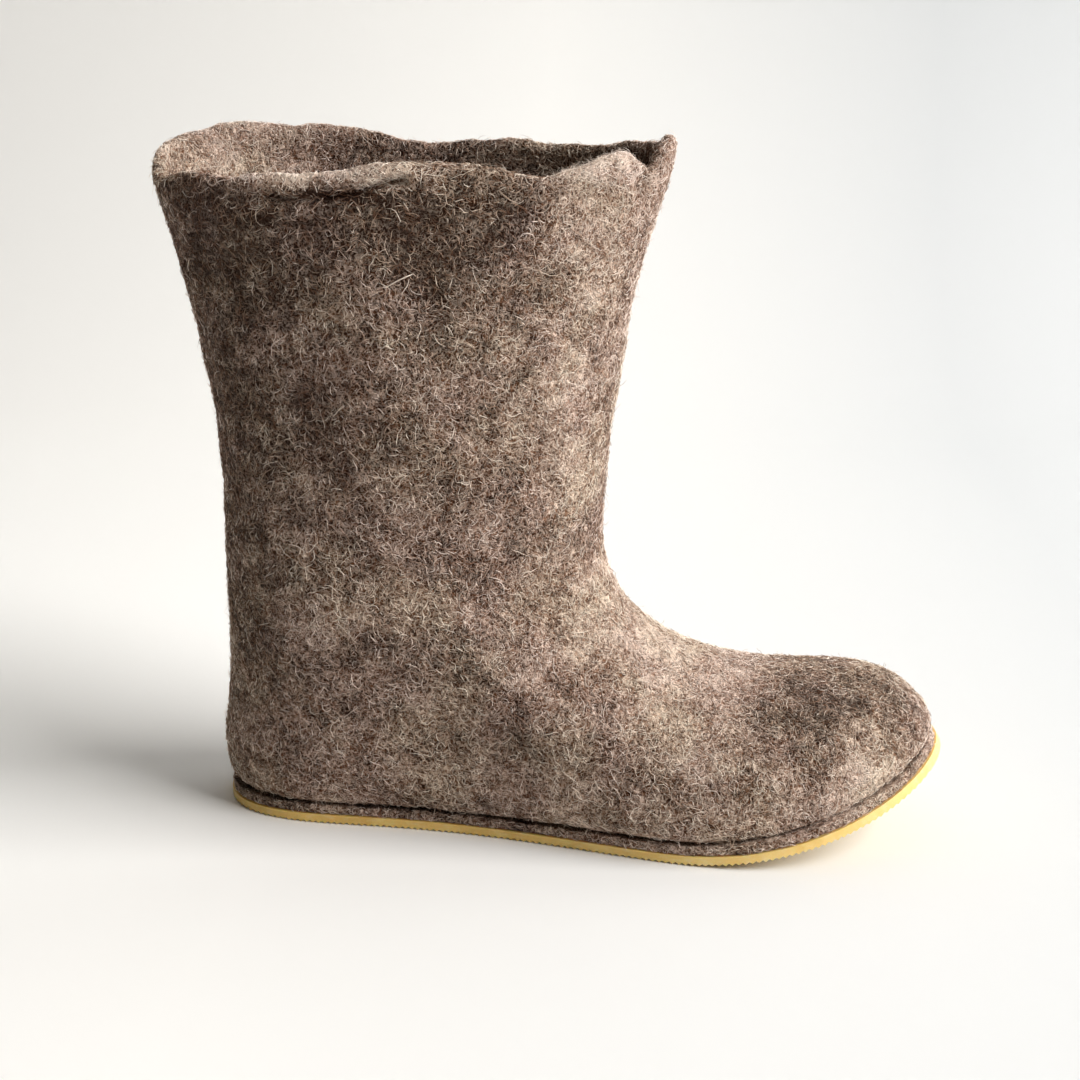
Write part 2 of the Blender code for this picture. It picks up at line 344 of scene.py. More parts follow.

# %% [markdown]
# The wool is mottled brown and beige, and the mottling isn't even: the felt is darker
# under the collar and on the toe cap, and paler down the front and over the instep.
# These patches are partly the wool's own colour and partly painted light and shade:
# painted shade under the collar's lip, in the crease beneath it, in the pinch at its
# front corner and inside the front of the collar, a painted highlight on the turned lip
# and on the inside of the collar's back, and paler felt on the side towards the window,
# where the light falls strongest.
# These soft patches are listed one by one. Both the felt and every loose fibre on it ask
# the same function how dark they are, so they agree.

# %% Where the wool is darker and paler
PAINTED_LIGHT_AND_TONE_PATCHES = [
    # place, reach along x, y and z, and how much paler or darker
    # painted shade under the collar's lip, with some of the wool's own darker colour
    ((-0.106, -0.038, 0.206), (0.022, 0.03, 0.016), -0.34),
    ((-0.060, -0.046, 0.212), (0.026, 0.03, 0.010), -0.32),
    ((-0.024, -0.043, 0.217), (0.015, 0.02, 0.012), -0.32),
    ((-0.040, -0.043, 0.203), (0.008, 0.02, 0.016), -0.20),
    ((-0.008, -0.037, 0.195), (0.011, 0.02, 0.012), -0.14),
    ((-0.062, -0.043, 0.190), (0.013, 0.02, 0.012), 0.10),
    ((-0.082, -0.040, 0.150), (0.018, 0.02, 0.022), -0.12),
    ((-0.046, -0.043, 0.150), (0.012, 0.02, 0.018), -0.08),
    ((-0.107, -0.030, 0.070), (0.012, 0.03, 0.020), -0.06),
    # paler down the front, over the instep and on the toe: partly painted light from the window side
    ((0.022, -0.022, 0.224), (0.016, 0.02, 0.016), 0.34),
    ((0.009, -0.026, 0.176), (0.012, 0.02, 0.026), 0.22),
    ((0.004, -0.027, 0.138), (0.014, 0.02, 0.022), 0.12),
    ((0.026, -0.020, 0.075), (0.018, 0.03, 0.016), 0.14),
    ((0.060, -0.005, 0.060), (0.022, 0.03, 0.012), 0.10),
    ((0.116, -0.034, 0.032), (0.016, 0.02, 0.012), 0.30),
    ((0.076, -0.032, 0.022), (0.050, 0.040, 0.020), 0.15),
    ((0.034, -0.020, 0.068), (0.024, 0.03, 0.018), 0.30),
    ((0.014, -0.026, 0.2400), (0.009, 0.008, 0.006), 0.35),
    ((-0.112, -0.024, 0.150), (0.022, 0.050, 0.060), -0.22),
    ((0.100, -0.018, 0.052), (0.014, 0.012, 0.009), -0.40),
    ((0.086, -0.034, 0.044), (0.011, 0.012, 0.008), -0.16),
    ((0.010, -0.036, 0.050), (0.020, 0.02, 0.014), -0.10),
    # painted highlight on the turned lip above the crease, and painted shade in the crease under the
    # collar
    ((-0.084, -0.044, 0.2310), (0.020, 0.010, 0.0026), 0.45),
    ((-0.056, -0.047, 0.2325), (0.022, 0.010, 0.0028), 0.45),
    ((-0.066, -0.046, 0.2252), (0.014, 0.010, 0.0013), -0.80),
    # paler front lip, partly painted highlight, and painted shade in the pinch at the front corner
    ((0.010, -0.030, 0.236), (0.016, 0.012, 0.004), 0.30),
    ((0.0280, -0.014, 0.234), (0.0022, 0.004, 0.006), -0.90),
    # in and on the collar: painted shade inside its front, painted light on the inside of its back
    # wall
    ((-0.034, 0.036, 0.226), (0.020, 0.02, 0.010), -0.34),
    ((-0.006, 0.034, 0.236), (0.016, 0.02, 0.005), 0.22),
    ((-0.076, 0.040, 0.232), (0.010, 0.02, 0.012), -0.14),
    ((-0.115, 0.010, 0.232), (0.022, 0.03, 0.014), 0.40),
    ((-0.124, -0.029, 0.2275), (0.017, 0.012, 0.008), -0.42),
    ((-0.022, -0.042, 0.028), (0.034, 0.02, 0.018), 0.10),
    ((0.060, 0.040, 0.040), (0.022, 0.02, 0.012), -0.14),
    ((-0.050, 0.043, 0.120), (0.022, 0.02, 0.030), -0.14),
    ((-0.080, 0.040, 0.060), (0.020, 0.02, 0.020), 0.12),
]


def painted_light_and_tone_at(points):
    """How much paler (above 0) or darker (below 0) the wool is painted at each point, painted light
    and shade and the wool's own patches together.
    """
    total = np.zeros(len(points))
    for place, reach, amount in PAINTED_LIGHT_AND_TONE_PATCHES:
        away = (points - np.array(place)) / np.array(reach)
        total += amount * np.exp(-0.5 * (away ** 2).sum(1))
    return total


print("tone patches:", len(PAINTED_LIGHT_AND_TONE_PATCHES))

# %% [markdown]
# Felt has no weave. It is a mat of curly fibres, dark and pale, that shows soft
# patches from far away and fine wandering lines close up. The lines are the places
# where a noise crosses its middle value, which gives thin curls with no straight runs.

# %% Wool felt
DARK_WOOL = (0.026, 0.010, 0.005)
BROWN_WOOL = (0.148, 0.070, 0.039)
GREY_WOOL = (0.360, 0.238, 0.177)
PALE_WOOL = (0.840, 0.700, 0.615)
WOOL_STOPS = [(0.12, DARK_WOOL), (0.40, BROWN_WOOL), (0.66, GREY_WOOL), (0.98, PALE_WOOL)]
HUE_STOPS = [(0.38, (1.0, 0.93, 0.885)), (0.62, (1.0, 0.965, 0.87))]
GROUND_LEVEL = 0.325
HAIRLINE_LEVEL = 0.62


def mottle(place):
    """Darker and paler patches around 0, the same on the felt and on its loose fibres."""
    wide = place.speckle(60, 3, 0.55, 0.6) - 0.5
    small = place.speckle(200, 3, 0.6, 0.8) - 0.5
    return wide * 1.3 + small * 1.1


def tinted(wool, place):
    """The wool a little pinker in some patches and yellower in others."""
    hue = place.speckle(40, 2, 0.5, 0.4).ramp(HUE_STOPS)
    multiplied = {"data_type": "RGBA", "blend_type": "MULTIPLY"}
    return wool.node("ShaderNodeMix", multiplied, {0: 1.0, 6: wool, 7: hue}, 2)


def felt_finish(name, lightness=0.0):
    """Mottled felt that reads its painted light and shade, with the wool's own paler and darker
    patches, from an attribute.
    """
    finish, start, shader = new_finish(
        name,
        {"Sheen Weight": 0.08, "Sheen Roughness": 0.45, "Specular IOR Level": 0.08},
    )
    shader.inputs["Sheen Tint"].default_value = (0.95, 0.80, 0.70, 1)
    place = start.node("ShaderNodeTexCoord", output="Object")
    tone = start.node("ShaderNodeAttribute", {"attribute_name": "tone"}, output="Fac")
    grain = place.speckle(900, 2, 0.6)
    patches = mottle(place)
    # the level takes in the painted light and shade from the attribute, with the wool's own patches
    level = patches + (grain - 0.5) + tone + (GROUND_LEVEL + lightness)
    wool = level.ramp(WOOL_STOPS)
    pale = (
        place.hairlines(230, 1.8, 30)
        + place.stretched((1.0, 1.0, 0.6)).hairlines(340, 2.4, 26)
        + place.stretched((0.6, 1.0, 1.0)).hairlines(460, 1.6, 22)
    ).held()
    dark = place.stretched((1.0, 0.8, 0.8)).hairlines(300, 2.0, 14)
    wool = (dark * 0.80).blended(wool, (*DARK_WOOL, 1))
    shown = (pale * (patches * 0.8 + tone * 0.8 + (HAIRLINE_LEVEL + lightness))).held()
    wool = tinted(shown.blended(wool, (*PALE_WOOL, 1)), place)
    wear(
        finish,
        shader,
        wool,
        roughness=grain * 0.2 + 0.78,
        height=pale * 0.6 + grain * 0.6 - dark * 0.5,
        depth=0.0009,
        strength=0.8,
    )
    return finish


upper_wool = felt_finish("mottled_felt")
midsole_wool = felt_finish("dense_felt", -0.06)
insole_wool = felt_finish("pale_felt", 0.10)

# %% [markdown]
# The solids come in as loose triangles. For a smooth felt surface a copy is merged,
# its triangles are joined back to four-sided faces and a Subdivision Surface rounds
# it. The modifier is applied, because the folds are pressed into the fine mesh.

# %% Copies of the solids


def merged_copy(node):
    """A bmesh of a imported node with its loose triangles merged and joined."""
    shape = bmesh.new()
    shape.from_mesh(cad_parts[node].data)
    bmesh.ops.remove_doubles(shape, verts=shape.verts[:], dist=1e-6)
    bmesh.ops.join_triangles(
        shape,
        faces=shape.faces[:],
        angle_face_threshold=math.radians(40),
        angle_shape_threshold=math.radians(60),
    )
    return shape


def add_piece(name, mesh, finish, slot, *nodes):
    """Adds a finished mesh to the boot, riding on its one body."""
    piece = bpy.data.objects.new(name, mesh)
    scene.collection.objects.link(piece)
    mesh.materials.clear()
    mesh.materials.append(finish)
    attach(piece, "root")
    if nodes:
        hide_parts(*nodes)
    mesh.calc_loop_triangles()
    print(name, "has", len(mesh.loop_triangles), "triangles")
    return piece


def rounded_mesh(name, shape, levels):
    """The bmesh as a mesh with an applied Subdivision Surface."""
    rough = bpy.data.meshes.new(name + "_rough")
    shape.to_mesh(rough)
    shape.free()
    holder = bpy.data.objects.new(name + "_rough", rough)
    scene.collection.objects.link(holder)
    smoother = holder.modifiers.new("rounding", "SUBSURF")
    smoother.levels = levels
    smoother.render_levels = levels
    ready = holder.evaluated_get(bpy.context.evaluated_depsgraph_get())
    mesh = bpy.data.meshes.new_from_object(ready)
    mesh.name = name
    bpy.data.objects.remove(holder)
    bpy.data.meshes.remove(rough)
    mesh.shade_smooth()
    return mesh


def read_points(mesh):
    """The mesh's points as rows of x, y and z."""
    points = np.empty(3 * len(mesh.vertices))
    mesh.vertices.foreach_get("co", points)
    return points.reshape(-1, 3)


def read_normals(mesh):
    """The mesh's normals at its points."""
    normals = np.empty(3 * len(mesh.vertices))
    mesh.vertex_normals.foreach_get("vector", normals)
    return normals.reshape(-1, 3)


def write_points(mesh, points):
    """Moves the mesh's points to these rows."""
    mesh.vertices.foreach_set("co", points.ravel())
    mesh.update()


def write_values(mesh, name, values):
    """One number for each point, which a material reads by its name."""
    mesh.attributes.new(name, "FLOAT", "POINT").data.foreach_set("value", values)


def lumps(points, size, seed):
    """Smooth noise from -1 to 1 at each point, with lumps of about the given size."""
    shift = Vector((seed * 7.3, seed * 3.1, seed * 5.7))
    return np.array([noise.noise(Vector(p) / size + shift) for p in points])


upper_mesh = rounded_mesh("felt_upper", merged_copy("upper"), 2)
print("felt upper:", len(upper_mesh.vertices), "points")

# %% [markdown]
# The main folds are placed from the photograph, each as a short run of
# points with a width and a depth: the crease where the collar was turned, the pinch
# at its front corner, the dent over the toes and the shallow hollows of the shaft.
# A fold pushes the surface along its own normal by a soft bell curve.

# %% Folds in the felt
FOLDS = [
    # name, points along it, half width, height (below 0 goes inwards)
    ("crease under the collar", [(-0.087, -0.044, 0.2238), (-0.077, -0.0455, 0.2236),
     (-0.068, -0.046, 0.2246), (-0.060, -0.046, 0.2258), (-0.052, -0.0455, 0.2284),
     (-0.045, -0.045, 0.2298)], 0.0010, -0.0030),
    ("faint start of the crease", [(-0.114, -0.034, 0.2254), (-0.099, -0.041, 0.2244),
     (-0.087, -0.044, 0.2238)], 0.0015, -0.0011),
    ("roll above the crease", [(-0.096, -0.042, 0.2295), (-0.080, -0.045, 0.2290),
     (-0.062, -0.046, 0.2305), (-0.046, -0.046, 0.2330)], 0.0028, 0.0008),
    ("pinch at the front corner", [(0.0270, -0.013, 0.2420), (0.0290, -0.012, 0.2340),
     (0.0285, -0.016, 0.2260)], 0.0024, -0.0030),
    ("turned lip at the front", [(0.0050, -0.033, 0.2330), (0.0160, -0.029, 0.2345),
     (0.0240, -0.022, 0.2360)], 0.0045, 0.0016),
    ("dent over the toes", [(0.0980, -0.012, 0.0530), (0.1050, -0.020, 0.0505)],
     0.0090, -0.0016),
    ("second dent over the toes", [(0.0860, -0.034, 0.0440), (0.0780, -0.038, 0.0400)],
     0.0080, -0.0009),
    ("hollow under the collar", [(-0.040, -0.043, 0.2120), (-0.038, -0.043, 0.1850)],
     0.0070, -0.0011),
    ("hollow in the shaft", [(-0.084, -0.039, 0.1600), (-0.076, -0.040, 0.1300)],
     0.0120, -0.0011),
    ("ankle fold", [(-0.004, -0.031, 0.1080), (-0.022, -0.039, 0.0960),
     (-0.042, -0.041, 0.0900)], 0.0070, -0.0010),
    ("swell over the ankle", [(-0.016, -0.036, 0.1240), (-0.038, -0.042, 0.1140)],
     0.0100, 0.0008),
    ("inner ankle fold", [(-0.004, 0.028, 0.1080), (-0.026, 0.037, 0.0950),
     (-0.050, 0.038, 0.0920)], 0.0075, -0.0013),
    ("inner collar crease", [(-0.100, 0.036, 0.2240), (-0.070, 0.040, 0.2230),
     (-0.040, 0.039, 0.2240)], 0.0035, -0.0012),
    ("back fold", [(-0.136, -0.002, 0.2060), (-0.128, -0.002, 0.1800)], 0.0080, -0.0012),
    ("heel swell", [(-0.1190, -0.003, 0.0400), (-0.1180, -0.003, 0.0240)], 0.0100, 0.0008),
]
FOLD_UNEVENNESS = 0.8
UNEVEN_SIZE = 0.016
BARELY_TOUCHED = 0.05


def fold_strength(points, run, half_width):
    """How close each point is to a run of points, as a bell curve from 0 to 1."""
    nearest = np.full(len(points), 1e9)
    run = np.array(run)
    for start, end in zip(run[:-1], run[1:]):
        along = end - start
        share = np.clip((points - start) @ along / (along @ along), 0, 1)
        away = np.linalg.norm(points - (start + share[:, None] * along), axis=1)
        nearest = np.minimum(nearest, away)
    return np.exp(-0.5 * (nearest / half_width) ** 2)


def finer_near(mesh, run, reach, cuts):
    """Cuts the mesh finer near a run of points, so that a narrow fold can be pressed in."""
    near = fold_strength(read_points(mesh), run, reach) > 0.6
    shape = bmesh.new()
    shape.from_mesh(mesh)
    edges = [e for e in shape.edges if near[e.verts[0].index] and near[e.verts[1].index]]
    bmesh.ops.subdivide_edges(shape, edges=edges, cuts=cuts, use_grid_fill=True)
    shape.to_mesh(mesh)
    shape.free()
    print("finer along the fold:", len(edges), "edges cut")


run_of = {name: run for name, run, half_width, height in FOLDS}
finer_near(upper_mesh, run_of["crease under the collar"], reach=0.0045, cuts=2)
finer_near(upper_mesh, run_of["pinch at the front corner"], reach=0.0055, cuts=1)
points = read_points(upper_mesh)
normals = read_normals(upper_mesh)
push = np.zeros(len(points))
for name, run, half_width, height in FOLDS:
    share = fold_strength(points, run, half_width)
    near = share > BARELY_TOUCHED
    wander = np.array([noise.noise(Vector(p) / UNEVEN_SIZE) for p in points[near]])
    push[near] += height * share[near] * (1 + FOLD_UNEVENNESS * wander)
    print(name, "moves", int((share > 0.3).sum()), "points")

# %% [markdown]
# Felt that was shrunk by hand keeps soft unevenness. Three sizes of lumps move the
# surface by fractions of a millimetre, and the collar's cut edge, which was never
# trimmed straight, waves a little more.

# %% Lumps and the uneven collar
FELT_LUMPS = [
    # height, size, seed
    (0.00075, 0.030, 1),
    (0.00045, 0.011, 2),
    (0.00022, 0.0045, 3),
]
RIM_START = 0.2250
RIM_HEIGHT = 0.012
NOTCH_RUN = [(0.0285, -0.016, 0.2400), (0.0275, -0.013, 0.2360)]
NOTCH_HALF_WIDTH = 0.0030
NOTCH_DEPTH = 0.0055
MOST_ABOVE_SOLID = 0.003

rim_share = np.clip((points[:, 2] - RIM_START) / RIM_HEIGHT, 0, 1)
for height, size, seed in FELT_LUMPS:
    push += height * lumps(points, size, seed)
points = points + normals * push[:, None]
waves = 0.0011 * lumps(points, 0.014, 4) + 0.0005 * lumps(points, 0.005, 5)
points[:, 2] += rim_share * waves
notch = fold_strength(points, NOTCH_RUN, NOTCH_HALF_WIDTH)
points[:, 2] -= NOTCH_DEPTH * notch * rim_share
points[:, 2] = np.minimum(points[:, 2], cad_box[1].z + MOST_ABOVE_SOLID)
write_points(upper_mesh, points)
# painted light and shade, with the wool's own patches, stored on the felt for its finish
write_values(upper_mesh, "tone", painted_light_and_tone_at(points))
add_piece("felt_upper", upper_mesh, upper_wool, "upper_felt", "upper")

# %% [markdown]
# The midsole shows as a felt band between the wool and the rubber, and the insole is
# a loose felt sheet inside. Both are copies of their solids with rounded rims: the
# sharp rim edges are bevelled first, so that the rounding keeps their size.

# %% Midsole and insole


def soften_rim(shape, width, steps=2):
    """Bevels the edges where two faces meet at more than 50 degrees."""
    sharp = [e for e in shape.edges if e.is_manifold and e.calc_face_angle(0) > math.radians(50)]
    bmesh.ops.bevel(
        shape, geom=sharp, offset=width, offset_type="OFFSET", affect="EDGES",
        segments=steps, profile=0.5, material=-1, clamp_overlap=True,
    )
    return len(sharp)


def felt_sheet(node, piece_name, finish, slot, rim, unevenness):
    """A felt sheet in place of a node, with a rounded rim and small lumps."""
    shape = merged_copy(node)
    print(node, "has", soften_rim(shape, rim), "rim edges")
    mesh = rounded_mesh(piece_name, shape, 1)
    places = read_points(mesh)
    outward = read_normals(mesh)
    shove = unevenness * (0.6 * lumps(places, 0.009, 6) + 0.4 * lumps(places, 0.0035, 7))
    write_points(mesh, places + outward * shove[:, None])
    # the sheet carries the same painted light and shade, with the wool's own patches
    write_values(mesh, "tone", painted_light_and_tone_at(places))
    return add_piece(piece_name, mesh, finish, slot, node)


felt_midsole = felt_sheet(
    "midsole", "felt_midsole", midsole_wool, "midsole_felt", rim=0.0009, unevenness=0.00035
)
felt_sheet("insole", "felt_insole", insole_wool, "insole_felt", rim=0.0008, unevenness=0.00020)

# %% [markdown]
# The rubber is a thin honey-coloured sheet. Its underside is rippled with small teeth
# across the sole, which show as a fine saw edge all along its rim and most of all on
# the sprung toe. The copy is cut across at every tooth and valley with bisect planes,
# and the valleys are then lifted, so the crests stay on the floor.

# %% Rubber sole with its ripple
RIPPLE_PITCH = 0.0023
RIPPLE_DEPTH = 0.0008
SLOPE_STEP = 0.002
RUBBER_THICKNESS = 0.0033
SLIVER_SIZE = 0.0010
CLEAR_OF_HEEL_END = 0.0006
CLEAR_OF_TOE_END = 0.0004


def ripple_cuts(low_edge, start, end):
    """Places along x of the teeth and valleys, half a pitch apart along the slope."""
    places = [start]
    while places[-1] < end:
        x = places[-1]
        rise = np.interp(x + SLOPE_STEP, *low_edge) - np.interp(x, *low_edge)
        places.append(x + RIPPLE_PITCH / 2 * math.cos(math.atan2(rise, SLOPE_STEP)))
    return places


def rubber_sole():
    """The outsole with a rounded rim and its underside cut into ripples."""
    shape = merged_copy("outsole")
    bmesh.ops.remove_doubles(shape, verts=shape.verts[:], dist=SLIVER_SIZE)
    shape.normal_update()
    under = sorted((v.co.x, v.co.z) for v in shape.verts if v.normal.z < -0.3)
    low_edge = ([x for x, z in under], [z for x, z in under])
    print("outsole has", soften_rim(shape, 0.0006), "rim edges")
    heel_end, toe_end = low_edge[0][0], low_edge[0][-1]
    cuts = ripple_cuts(low_edge, heel_end + CLEAR_OF_HEEL_END, toe_end - CLEAR_OF_TOE_END)
    for x in cuts:
        bmesh.ops.bisect_plane(
            shape, geom=shape.verts[:] + shape.edges[:] + shape.faces[:], dist=1e-7,
            plane_co=(x, 0, 0), plane_no=(1, 0, 0),
        )
    for vert in shape.verts:
        height = (vert.co.z - np.interp(vert.co.x, *low_edge)) / RUBBER_THICKNESS
        valley = np.interp(vert.co.x, cuts, np.arange(len(cuts)) % 2)
        vert.co.z += RIPPLE_DEPTH * valley * min(1.0, max(0.0, 1.0 - height))
    print("ripple:", len(cuts) // 2, "teeth")
    mesh = bpy.data.meshes.new("rubber_outsole")
    shape.to_mesh(mesh)
    shape.free()
    mesh.shade_smooth()
    mesh.set_sharp_from_angle(angle=math.radians(24))
    return mesh


rubber_mesh = rubber_sole()

# %% [markdown]
# The honey colour is cloudy, a little darker towards the heel, with pale dust in its
# ripples. Some light goes through such rubber, so it has a little subsurface, and a
# faint coat gives it a satin shine.

# %% Honey-coloured rubber
HONEY_STOPS = [
    (0.25, (0.690, 0.435, 0.105)), (0.50, (0.820, 0.545, 0.160)), (0.85, (0.890, 0.660, 0.260))
]
PALE_DUST = (0.84, 0.72, 0.50, 1)

rubber, start, shader = new_finish("honey_rubber", {
    "Specular IOR Level": 0.45,
    "Subsurface Weight": 0.25,
    "Subsurface Scale": 0.004,
    "Coat Weight": 0.08,
})
place = start.node("ShaderNodeTexCoord", output="Object")
clouds = place.speckle(70, 3, 0.5)
specks = place.speckle(1400, 2, 0.6)
dust = place.stretched((1, 1, 3)).speckle(260, 4, 0.65)
honey = (clouds * 0.8 + specks * 0.3 + place.along(0) * 1.4 - 0.05).ramp(HONEY_STOPS)
honey = ((dust - 0.52).held() * 1.6).held().blended(honey, PALE_DUST)
wear(
    rubber, shader, honey, roughness=specks * 0.25 + 0.34,
    height=specks + dust, depth=0.0002, strength=0.4,
)
add_piece("rubber_outsole", rubber_mesh, rubber, "sole_rubber", "outsole")

# %% [markdown]
# Loose fibres make the difference between felt and stone. Each one is a thin closed
# spindle with three sides: one is made with operators and repeated by an Array
# modifier, and then every copy is laid along its own curled path on the felt.

# %% One fibre, repeated


def spindle(rings):
    """A closed three-sided spindle along z: a tip at 0, rings at 1, 2 ... and a tip."""
    shape = bmesh.new()
    loop = bmesh.ops.create_circle(shape, segments=3, radius=1)["verts"]
    bmesh.ops.translate(shape, verts=loop, vec=(0, 0, 1))
    first_edges = shape.edges[:]

    def drawn_out(edges, step):
        made = bmesh.ops.extrude_edge_only(shape, edges=edges)["geom"]
        verts = [g for g in made if isinstance(g, bmesh.types.BMVert)]
        edges = [g for g in made if isinstance(g, bmesh.types.BMEdge)]
        bmesh.ops.translate(shape, verts=verts, vec=(0, 0, step))
        return verts, [edge for edge in edges if all(v in verts for v in edge.verts)]

    def closed_at(verts, z):
        bmesh.ops.pointmerge(shape, verts=verts, merge_co=(0, 0, z))

    edges = first_edges
    for ring in range(rings - 1):
        verts, edges = drawn_out(edges, 1)
    closed_at(drawn_out(edges, 1)[0], rings + 1)
    closed_at(drawn_out(first_edges, -1)[0], 0)
    bmesh.ops.recalc_face_normals(shape, faces=shape.faces[:])
    mesh = bpy.data.meshes.new("spindle")
    shape.to_mesh(mesh)
    shape.free()
    return mesh


def repeated(mesh, count):
    """The mesh repeated in place, copy after copy."""
    holder = bpy.data.objects.new("repeat", mesh)
    scene.collection.objects.link(holder)
    row = holder.modifiers.new("repeat", "ARRAY")
    row.count = count
    row.use_relative_offset = False
    row.use_constant_offset = False
    shown = bpy.context.evaluated_depsgraph_get()
    many = bpy.data.meshes.new_from_object(holder.evaluated_get(shown))
    bpy.data.objects.remove(holder)
    return many


print("a fibre with two rings has", len(spindle(2).polygons), "faces")

# %% [markdown]
# A fibre starts at a random point of the felt and wanders over it: every step turns
# a little and snaps back to the surface, so a fibre follows the rim and the folds.
# Its ends dip into the felt or lift off it. Where the wool is fluffier, the faces have
# more weight, so more fibres start there.

# %% The felt as rows of triangles
HEART_LINE = np.array([(-0.055, -0.003, 0.26), (-0.062, -0.003, 0.035), (0.105, -0.002, 0.033)])


def triangles_of(mesh):
    """The mesh's triangles as rows of three point numbers."""
    mesh.calc_loop_triangles()
    rows = np.empty(3 * len(mesh.loop_triangles), dtype=np.int64)
    mesh.loop_triangles.foreach_get("vertices", rows)
    return rows.reshape(-1, 3)


upper_corners = triangles_of(upper_mesh)
band_corners = triangles_of(felt_midsole.data) + len(upper_mesh.vertices)
felt_points = np.vstack([read_points(upper_mesh), read_points(felt_midsole.data)])
corners = np.vstack([upper_corners, band_corners])
on_band = np.arange(len(corners)) >= len(upper_corners)
felt_tree = BVHTree.FromPolygons(felt_points.tolist(), corners.tolist())
face_a, face_b, face_c = (felt_points[corners[:, k]] for k in range(3))
face_cross = np.cross(face_b - face_a, face_c - face_a)
face_area = np.linalg.norm(face_cross, axis=1) / 2
face_normal = face_cross / (2 * face_area[:, None] + 1e-15)
face_middle = (face_a + face_b + face_c) / 3


def facing_out(middles, outward):
    """1 where a face looks away from the leg and foot, -1 where it looks at them."""
    best = np.full(len(middles), 1e9)
    centre = np.zeros_like(middles)
    for start, end in zip(HEART_LINE[:-1], HEART_LINE[1:]):
        along = end - start
        share = np.clip((middles - start) @ along / (along @ along), 0, 1)
        spot = start + share[:, None] * along
        away = np.linalg.norm(middles - spot, axis=1)
        closer = away < best
        best[closer] = away[closer]
        centre[closer] = spot[closer]
    return ((middles - centre) * outward).sum(1) / best


outness = facing_out(face_middle, face_normal)
print(len(corners), "triangles of felt, of them", int(on_band.sum()), "on the midsole")

# %% Where the fibres start
WALL_FOOT = 0.009
ANKLE_HEIGHT = 0.070
DEEPEST_SEEN = 0.165
RIM_BOTTOM = 0.222
COLLAR_CORNER = [(0.0050, -0.031, 0.2360), (0.0230, -0.022, 0.2370)]
height = face_middle[:, 2]
outside = (outness > -0.15) & (height > WALL_FOOT) & ~on_band
inside_top = (outness <= -0.15) & (height > DEEPEST_SEEN)
band = on_band & (np.abs(face_normal[:, 2]) < 0.85) & (outness > 0.3)
rim = (height > RIM_BOTTOM) & (np.abs(outness) < 0.75)
front_edge = outside & (face_normal[:, 0] > 0.45) & (height > ANKLE_HEIGHT)
fluffy_corner = fold_strength(face_middle, COLLAR_CORNER, 0.0060)
for name, mask in [("outside", outside), ("inside top", inside_top), ("rim", rim)]:
    print(name, round(face_area[mask].sum() * 1e4), "cm2")

# %% [markdown]
# The fibres of one kind are laid together: each array holds one row per fibre, and each
# turn of the loop goes one step along them. A loose fibre rises from its root to a free
# tip; the others bow up a little and dip their ends into the felt.

# %% Laying fibres
DIP = 0.00012
LOOSE_RISE = 2.6
FLATNESS = 0.8
SHADE_SPREAD = 0.20
PAINTED_LIGHT_AND_TONE_SHARE = 0.55


def on_felt(targets, lift):
    """Each target snapped to the felt and lifted off it, with the felt's normal there."""
    spots = np.empty_like(targets)
    outward = np.empty_like(targets)
    for k, target in enumerate(targets):
        spot, normal, index, gap = felt_tree.find_nearest(target)
        spots[k] = spot
        outward[k] = normal
    return spots + outward * lift[:, None], spots, outward


def unit(vectors):
    """The vectors at a length of one."""
    return vectors / (np.linalg.norm(vectors, axis=1)[:, None] + 1e-12)


def lay_fibres(name, count, rings, length, width, lift, loose, curl, paleness, weight, seed):
    """Spindles along curled paths on the felt, as one mesh with a shade on each."""
    chance = np.random.default_rng(seed)
    odds = face_area * weight
    picks = chance.choice(len(odds), count, p=odds / odds.sum())
    u, v = chance.random((2, count))
    over = u + v > 1
    u[over], v[over] = 1 - u[over], 1 - v[over]
    along_b = u[:, None] * (face_b - face_a)[picks]
    along_c = v[:, None] * (face_c - face_a)[picks]
    roots = face_a[picks] + along_b + along_c
    outward = face_normal[picks]
    heading = unit(np.cross(outward, chance.normal(size=(count, 3))))
    reach = chance.uniform(*length, count)
    girth = chance.uniform(*width, count)
    rise = chance.uniform(*lift, count)
    free = chance.random(count) < loose
    swing = chance.normal(0, curl, count)
    last = rings + 1
    path, sides, ups = [], [], []
    place = roots
    for k in range(last + 1):
        share = k / last
        bow = math.sin(math.pi * share)
        bowed = rise * math.sin(math.pi * min(share, 0.999)) - DIP * (1 - bow)
        height = np.where(free, rise * LOOSE_RISE * share ** 1.6, bowed)
        lifted, spots, outward = on_felt(place, height)
        path.append(lifted)
        heading = unit(heading - (heading * outward).sum(1)[:, None] * outward)
        aside = np.cross(outward, heading)
        sides.append(aside)
        ups.append(outward)
        turn = swing + chance.normal(0, curl * 0.6, count)
        heading = unit(heading * np.cos(turn)[:, None] + aside * np.sin(turn)[:, None])
        place = spots + heading * (reach / last)[:, None]
    path, sides, ups = (np.array(rows) for rows in (path, sides, ups))
    template = spindle(rings)
    shape = read_points(template)
    step = np.rint(shape[:, 2]).astype(int)
    radius = girth / 2
    laid = (
        path[step]
        + sides[step] * (shape[:, 0][:, None] * radius)[:, :, None]
        + ups[step] * (shape[:, 1][:, None] * radius)[:, :, None] * FLATNESS
    )
    mesh = repeated(template, count)
    write_points(mesh, np.ascontiguousarray(laid.transpose(1, 0, 2)).reshape(-1, 3))
    mesh.name = name
    mesh.shade_smooth()
    own = chance.normal(paleness, SHADE_SPREAD, count)
    # each fibre's shade takes in part of the painted light and shade at its root
    shade = np.clip(own + PAINTED_LIGHT_AND_TONE_SHARE * painted_light_and_tone_at(roots), 0, 1)
    write_values(mesh, "shade", np.repeat(shade, len(shape)))
    return mesh


